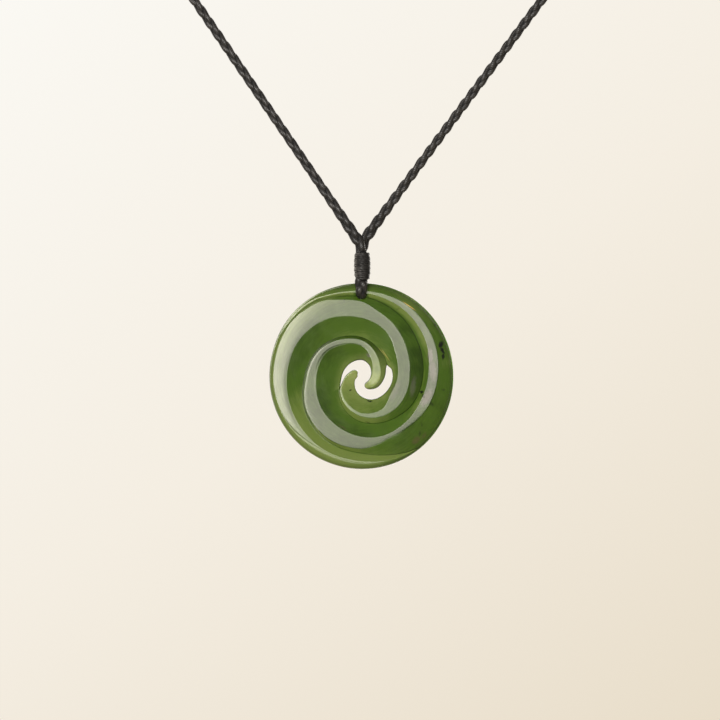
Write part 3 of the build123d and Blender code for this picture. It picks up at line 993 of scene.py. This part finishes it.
def drill_hole(stone):
    """The hole for the cord, with both mouths rounded."""
    radius, mouth, flare, reach = 1.15 * MM, 0.06 * MM, 0.6 * MM, STONE_HALF + 1 * MM
    steps = 5
    profile = [(-reach, radius + mouth + flare)]
    for k in range(steps + 1):
        turn = pi / 2 * k / steps
        profile.append((-STONE_HALF + mouth * sin(turn), radius + mouth * (1 - sin(turn))))
    profile += [(-y, r) for y, r in reversed(profile)]
    bm = spin_profile([(0, y, r) for y, r in profile], (0, 1, 0), 40)
    bmesh.ops.holes_fill(bm, edges=[edge for edge in bm.edges if edge.is_boundary], sides=0)
    bmesh.ops.translate(bm, verts=bm.verts, vec=HOLE)
    drill = finish_mesh(bm, "drill", THREAD_MERGE)
    cut = stone.modifiers.new("drilled hole", "BOOLEAN")
    cut.object = drill
    cut.operation = "DIFFERENCE"
    cut.solver = "EXACT"
    evaluated = stone.evaluated_get(bpy.context.evaluated_depsgraph_get())
    mesh = bpy.data.meshes.new_from_object(evaluated)
    stone.modifiers.clear()
    stone.data = mesh
    bpy.data.objects.remove(drill)
    for polygon in mesh.polygons:
        polygon.use_smooth = True


# ---- finishes


class Nodes:
    """Short ways to add shader nodes to a new material."""

    def __init__(self, name):
        self.material = bpy.data.materials.new(name)
        self.material.use_nodes = True
        self.tree = self.material.node_tree
        self.shader = self.tree.nodes["Principled BSDF"]

    def add(self, kind, **settings):
        node = self.tree.nodes.new(kind)
        for key, value in settings.items():
            setattr(node, key, value)
        return node

    def link(self, source, target):
        self.tree.links.new(source, target)

    def fill(self, socket, value):
        if isinstance(value, bpy.types.NodeSocket):
            self.link(value, socket)
        else:
            socket.default_value = value

    def place(self):
        return self.add("ShaderNodeTexCoord").outputs["Object"]

    def attribute(self, name):
        return self.add("ShaderNodeAttribute", attribute_name=name).outputs["Fac"]

    def math(self, operation, a, b=0.0, clamp=False):
        node = self.add("ShaderNodeMath", operation=operation, use_clamp=clamp)
        self.fill(node.inputs[0], a)
        self.fill(node.inputs[1], b)
        return node.outputs[0]

    def vector(self, operation, *values, output=0):
        node = self.add("ShaderNodeVectorMath", operation=operation)
        for socket, value in zip(node.inputs, values):
            self.fill(socket, value)
        return node.outputs[output]

    def axis(self, source, name):
        node = self.add("ShaderNodeSeparateXYZ")
        self.link(source, node.inputs[0])
        return node.outputs[name]

    def mapping(self, source, kind="POINT", **sockets):
        node = self.add("ShaderNodeMapping", vector_type=kind)
        self.link(source, node.inputs["Vector"])
        for name, value in sockets.items():
            node.inputs[name].default_value = value
        return node.outputs["Vector"]

    def noise(self, place, scale, detail=4.0, roughness=0.55, distortion=0.0, output="Fac"):
        node = self.add("ShaderNodeTexNoise")
        self.link(place, node.inputs["Vector"])
        node.inputs["Scale"].default_value = scale
        node.inputs["Detail"].default_value = detail
        node.inputs["Roughness"].default_value = roughness
        node.inputs["Distortion"].default_value = distortion
        return node.outputs[output]

    def spread(self, value, low, high, to_low=0.0, to_high=1.0):
        node = self.add("ShaderNodeMapRange", interpolation_type="SMOOTHSTEP")
        self.fill(node.inputs["Value"], value)
        for name, number in zip(("From Min", "From Max", "To Min", "To Max"), (low, high, to_low, to_high)):
            node.inputs[name].default_value = number
        return node.outputs["Result"]

    def blend(self, share, a, b):
        node = self.add("ShaderNodeMix", data_type="RGBA")
        for socket, value in zip((node.inputs[0], node.inputs[6], node.inputs[7]), (share, a, b)):
            if isinstance(value, (tuple, list)):
                value = (*value[:3], 1)
            self.fill(socket, value)
        return node.outputs[2]

    def bump(self, height, strength, distance, normal=None):
        node = self.add("ShaderNodeBump")
        self.link(height, node.inputs["Height"])
        node.inputs["Strength"].default_value = strength
        node.inputs["Distance"].default_value = distance
        if normal is not None:
            self.link(normal, node.inputs["Normal"])
        return node.outputs["Normal"]

    def finish(self, sockets):
        """Set or link the shader's sockets and give the material."""
        for name, value in sockets.items():
            self.fill(self.shader.inputs[name], value)
        return self.material


def cord_material(settings, name="waxed cord", slant=0.75, fibres=3.6, polish=0.40, shine=0.62, colours=None):
    """Waxed thread: fine fibres run slantwise round each strand, with painted shade dark in the gaps and worn paler
    on top, and with painted shade that makes it less worn, so darker, where the two sides part. Given three colours
    of its own, it is painted darker towards the right instead, as shade, and palest at its left edge, as a painted
    highlight."""
    n = Nodes(name)
    uv = n.add("ShaderNodeUVMap", uv_map="thread_uv").outputs["UV"]
    raised = n.attribute("raised")
    place = n.place()
    turned = n.mapping(uv, Rotation=(0, 0, slant), Scale=(fibres, fibres * 0.22, 1))
    fibre = n.noise(turned, 1.0, 3.0, 0.6)
    ply = n.add("ShaderNodeTexWave", wave_type="BANDS", bands_direction="X", wave_profile="SIN")
    n.link(n.mapping(uv, Rotation=(0, 0, slant)), ply.inputs["Vector"])
    for name, value in (("Scale", 1.05), ("Distortion", 1.5), ("Detail", 2.0), ("Detail Scale", 1.5)):
        ply.inputs[name].default_value = value
    patch = n.noise(place, 520.0, 3.0, 0.6)
    worn = n.math("MULTIPLY", n.spread(fibre, 0.40, 0.68), n.spread(patch, 0.35, 0.65, 0.35, 1.0))
    worn = n.math("MULTIPLY", worn, n.spread(raised, 0.1, 0.95))
    if colours:
        across = n.axis(place, "X")
        # painted shade: the binding is less worn, so darker, towards its right
        worn = n.math("MULTIPLY", worn, n.spread(across, -1.0 * MM, 1.8 * MM, 1.0, 0.15))
        colour = n.blend(worn, *colours[:2])
        # painted highlight: the binding is palest at its left edge, as if lit from the left
        left = n.spread(across, -1.8 * MM, -0.7 * MM, 1.0, 0.0)
        colour = n.blend(n.math("MULTIPLY", left, n.spread(fibre, 0.35, 0.6, 0.3, 1.0)), colour, colours[2])
    else:
        # painted shade: the cord is less worn, so darker, near where the two sides part below the binding
        apart = n.math("ABSOLUTE", n.math("SUBTRACT", n.axis(place, "Z"), BINDING_HIGH.z + 4 * MM))
        worn = n.math("MULTIPLY", worn, n.spread(apart, 2.5 * MM, 6 * MM, 0.3, 1.0))
        colour = n.blend(worn, tuple(settings.cord_colour), tuple(settings.worn_colour))
    return n.finish({
        # painted shade: the gaps between strands are drawn near black
        "Base Color": n.blend(n.spread(raised, 0.55, -0.1), colour, GAP_SHADE_COLOUR),
        "Roughness": n.math("ADD", n.spread(fibre, 0.3, 0.7, 0.06, -0.08), n.spread(raised, 0.0, 0.7, 0.78, polish)),
        "Specular IOR Level": shine,
        "Specular Tint": (1.0, 0.98, 0.95, 1),
        "Normal": n.bump(fibre, 0.6, 0.06 * MM, n.bump(ply.outputs["Fac"], 0.5, 0.06 * MM)),
    })


def thread_material(settings):
    """The binding thread, paler and less shiny than the cord, with its fibres nearly along it."""
    return cord_material(
        settings, "binding thread", slant=0.35, fibres=5.0, polish=0.52, shine=0.4, colours=THREAD_COLOURS_AND_LIT_EDGE
    )


def clasp_material():
    """Black turned metal with fine turning marks."""
    n = Nodes("blackened clasp")
    place = n.place()
    marks = n.noise(n.mapping(place, Scale=(9000, 300, 300)), 1.0, 2.0)
    wear = n.noise(place, 700.0, 4.0)
    return n.finish({
        "Base Color": n.blend(n.spread(wear, 0.5, 0.75), *CLASP_COLOURS),
        "Roughness": n.spread(marks, 0.3, 0.7, 0.34, 0.5),
        "Normal": n.bump(marks, 0.15, 0.03 * MM),
    })


def marked(n, place, marks):
    """How strongly any of a table's marks shows at a place, from 0 to 1."""
    total = None
    for mark in marks:
        own = n.mapping(
            place, "TEXTURE", Rotation=(0, -radians(mark.slope), 0),
            Location=(STONE_CENTRE.x + mark.x * MM, -STONE_HALF, STONE_CENTRE.z + mark.z * MM),
            Scale=(mark.half_length * MM, MARK_DEPTH * MM, mark.half_width * MM),
        )
        here = n.spread(n.vector("LENGTH", own, output="Value"), 1.35, 0.55, 0, mark.strength)
        total = here if total is None else n.math("MAXIMUM", total, here)
    return total


def stone_material(settings):
    """Polished nephrite: soft mottled green with painted light and shade, a painted glow where it is thin and at the
    rim and painted shade in the creases, with inclusions, stains and golden streaks.
    """
    n = Nodes("greenstone")
    place = n.place()
    shade, thin, rim = (n.attribute(name) for name in TRAITS)

    # marks left by the wheel, round the middle of the stone
    flat = n.vector("MULTIPLY", n.vector("SUBTRACT", place, STONE_CENTRE), (1, 0, 1))
    ring = n.add("ShaderNodeCombineXYZ")
    n.link(n.math("MULTIPLY", n.vector("LENGTH", flat, output="Value"), 2600), ring.inputs["Y"])
    wheel = n.vector("MULTIPLY_ADD", n.vector("NORMALIZE", flat), (5, 5, 5), ring.outputs[0])
    streak = n.noise(wheel, 1.0, 3.0, 0.6)

    mottle = n.noise(place, 95.0, 4.0, 0.5, 0.4)
    cloud = n.noise(place, 420.0, 4.0, 0.6, 0.3)
    grain = n.noise(place, 2600.0, 3.0, 0.6)
    # the arms' tone: partly the stone's own green, partly painted light and shade from the shade tables
    tone = n.math("ADD", shade, n.spread(mottle, 0.3, 0.7, -0.14, 0.14))
    tone = n.math("ADD", tone, n.spread(streak, 0.3, 0.7, -0.06, 0.06))
    colour = n.blend(n.spread(tone, -0.05, 0.5), tuple(settings.deep_colour), tuple(settings.body_colour))
    colour = n.blend(n.spread(tone, 0.5, 1.05), colour, tuple(settings.pale_colour))
    # painted shade in the creases
    colour = n.blend(n.spread(tone, -0.1, -0.6), colour, CREASE_SHADE_COLOUR)
    # painted glow where the stone is thin
    glow = n.math("MULTIPLY", thin, n.spread(cloud, 0.3, 0.7, 0.55, 1.0))
    colour = n.blend(glow, colour, tuple(settings.glow_colour))
    # painted light where the rim lets light through
    colour = n.blend(n.math("MULTIPLY", rim, n.spread(streak, 0.3, 0.7, 0.55, 0.9)), colour, RIM_COLOUR)
    colour = n.blend(n.spread(cloud, 0.5, 0.8, 0, 0.2), colour, CLOUD_COLOUR)

    # stains and inclusions have ragged outlines, the golden streaks have clean ones
    shift = n.noise(place, 1500, 3, 0.5, output="Color")
    shifted = n.vector("MULTIPLY_ADD", shift, (MARK_RAGGED * MM,) * 3, place)
    ragged = n.vector("SUBTRACT", shifted, (MARK_RAGGED / 2 * MM,) * 3)
    for marks, here, tint in (
        (STAINS, ragged, STAIN_COLOUR), (RUST, ragged, RUST_COLOUR), (GOLD_STREAKS, place, GOLD_COLOUR),
        (INCLUSIONS, ragged, INCLUSION_COLOUR),
    ):
        colour = n.blend(marked(n, here, marks), colour, tint)
    return n.finish({
        "Base Color": colour,
        "Roughness": n.spread(cloud, 0.3, 0.7, 0.14, 0.21),
        "IOR": 1.61,
        "Specular Tint": (1.0, 0.965, 0.80, 1),
        "Subsurface Weight": 0.3,
        "Subsurface Radius": (0.6, 1.0, 0.25),
        "Subsurface Scale": 0.9 * MM,
        "Normal": n.bump(grain, 0.04, 0.02 * MM, n.bump(streak, 0.05, 0.03 * MM)),
    })


# ---- stage


def backdrop_material(settings):
    """A plain pale sweep, a little warmer and darker towards the lower right."""
    n = Nodes("backdrop")
    place = n.place()
    # how far the camera is from the sweep's upright part, and how much sideways counts against down
    wall_distance = 3.1
    reach = wall_distance / settings.camera_distance * settings.view_width / 2
    lean = 0.7
    across = n.math("MULTIPLY", n.axis(place, "X"), lean)
    down = n.math("SUBTRACT", STONE_CENTRE.z, n.axis(place, "Z"))
    share = n.math("MULTIPLY", n.math("ADD", across, down), 1 / (2 * (1 + lean) * reach))
    ramp = n.add("ShaderNodeValToRGB")
    n.link(n.math("ADD", share, 0.5, clamp=True), ramp.inputs["Fac"])
    stops = ramp.color_ramp.elements
    stops[0].color = (*settings.backdrop_light, 1)
    stops[1].color = (*settings.backdrop_warm, 1)
    stops.new(0.5).color = (*BACKDROP_MIDDLE, 1)
    return n.finish({
        "Base Color": (0.0, 0.0, 0.0, 1),
        "Specular IOR Level": 0.0,
        "Roughness": 1.0,
        "Emission Color": ramp.outputs["Color"],
        "Emission Strength": n.spread(n.axis(place, "Y"), 0.9, 2.0, 0.3, 1.0),
    })


def surround():
    """A pale box round the whole set, which only the camera sees and which lights nothing."""
    bm = bmesh.new()
    middle, size = (0, -0.4, 1.305), (9, 7, 5)
    bmesh.ops.create_cube(bm, size=1, matrix=Matrix.Translation(middle) @ Matrix.Diagonal((*size, 1)))
    room = finish_mesh(bm, "surround", PLAIN_MERGE)
    for ray in ("diffuse", "glossy", "transmission", "volume_scatter", "shadow"):
        setattr(room, "visible_" + ray, False)
    room.data.materials.append(Nodes("pale surround").finish({
        "Base Color": (0.0, 0.0, 0.0, 1),
        "Specular IOR Level": 0.0,
        "Emission Color": (*SURROUND_COLOUR, 1),
        "Emission Strength": 1.0,
    }))
    return room


def add_light(lamp):
    """A soft rectangular light that faces the stone."""
    data = bpy.data.lights.new(lamp.name, "AREA")
    data.shape = "RECTANGLE"
    data.size, data.size_y = lamp.width, lamp.height
    data.energy = lamp.power
    made = bpy.data.objects.new(lamp.name, data)
    made.location = lamp.place
    made.rotation_euler = (STONE_CENTRE - made.location).to_track_quat("-Z", "Y").to_euler()
    made.visible_camera = False
    made.visible_glossy = lamp.glossy
    bpy.context.scene.collection.objects.link(made)


class KORU_OT_stage(bpy.types.Operator):
    """Set up the camera, the pale sweep and the soft lights"""

    bl_idname = "koru.stage"
    bl_label = "Stage"

    def execute(self, context):
        settings = context.scene.koru_stage
        scene = context.scene
        lens = bpy.data.cameras.new("camera")
        lens.sensor_width = SENSOR_WIDTH
        lens.lens = SENSOR_WIDTH * settings.camera_distance / settings.view_width
        camera = bpy.data.objects.new("camera", lens)
        camera.location = (VIEW_X * MM, -settings.camera_distance, VIEW_Z * MM)
        camera.rotation_euler = (pi / 2, 0, 0)
        scene.collection.objects.link(camera)
        scene.camera = camera
        scene.view_settings.view_transform = "Standard"

        bm = bmesh.new()
        floor_z, wall_y, bend, steps, half_width = -1.2, 2.2, 0.6, 10, 4
        outline = [(-3.5, floor_z), (wall_y - bend, floor_z)]
        for k in range(1, steps + 1):
            turn = pi / 2 * k / steps
            outline.append((wall_y - bend + bend * sin(turn), floor_z + bend * (1 - cos(turn))))
        outline.append((wall_y, 2.5))
        _, edges = chain(bm, [(-half_width, y, z) for y, z in outline])
        side = bmesh.ops.extrude_edge_only(bm, edges=edges)["geom"]
        moved = [v for v in side if isinstance(v, bmesh.types.BMVert)]
        bmesh.ops.translate(bm, verts=moved, vec=(2 * half_width, 0, 0))
        sweep = finish_mesh(bm, "sweep", PLAIN_MERGE)
        sweep.data.materials.append(backdrop_material(settings))
        surround()

        world = bpy.data.worlds.new("room")
        world.use_nodes = True
        background = world.node_tree.nodes["Background"]
        background.inputs["Color"].default_value = (*ROOM_COLOUR, 1)
        background.inputs["Strength"].default_value = 0.18
        scene.world = world
        for lamp in LAMPS:
            add_light(lamp)
        return {"FINISHED"}


class KORU_PT_panel(bpy.types.Panel):
    """Lists the pieces of the pendant"""

    bl_idname = "KORU_PT_panel"
    bl_label = "Koru pendant"
    bl_space_type = "VIEW_3D"
    bl_region_type = "UI"
    bl_category = "Koru pendant"

    def draw(self, context):
        for step in STEPS:
            self.layout.operator(step.bl_idname)
        for group in (context.scene.koru_cord, context.scene.koru_stone, context.scene.koru_stage):
            box = self.layout.box()
            for name in group.__annotations__:
                box.prop(group, name)


STEPS = (KORU_OT_stage, KORU_OT_cords, KORU_OT_binding, KORU_OT_clasp, KORU_OT_stone)
CLASSES = (CordSettings, StoneSettings, StageSettings, *STEPS, KORU_PT_panel)


def register():
    for kind in CLASSES:
        bpy.utils.register_class(kind)
    bpy.types.Scene.koru_cord = PointerProperty(type=CordSettings)
    bpy.types.Scene.koru_stone = PointerProperty(type=StoneSettings)
    bpy.types.Scene.koru_stage = PointerProperty(type=StageSettings)


def unregister():
    del bpy.types.Scene.koru_cord
    del bpy.types.Scene.koru_stone
    del bpy.types.Scene.koru_stage
    for kind in reversed(CLASSES):
        bpy.utils.unregister_class(kind)


def main():
    register()
    for step in STEPS:
        name = step.bl_idname.split(".")[1]
        getattr(bpy.ops.koru, name)()


if __name__ == "__main__":
    main()
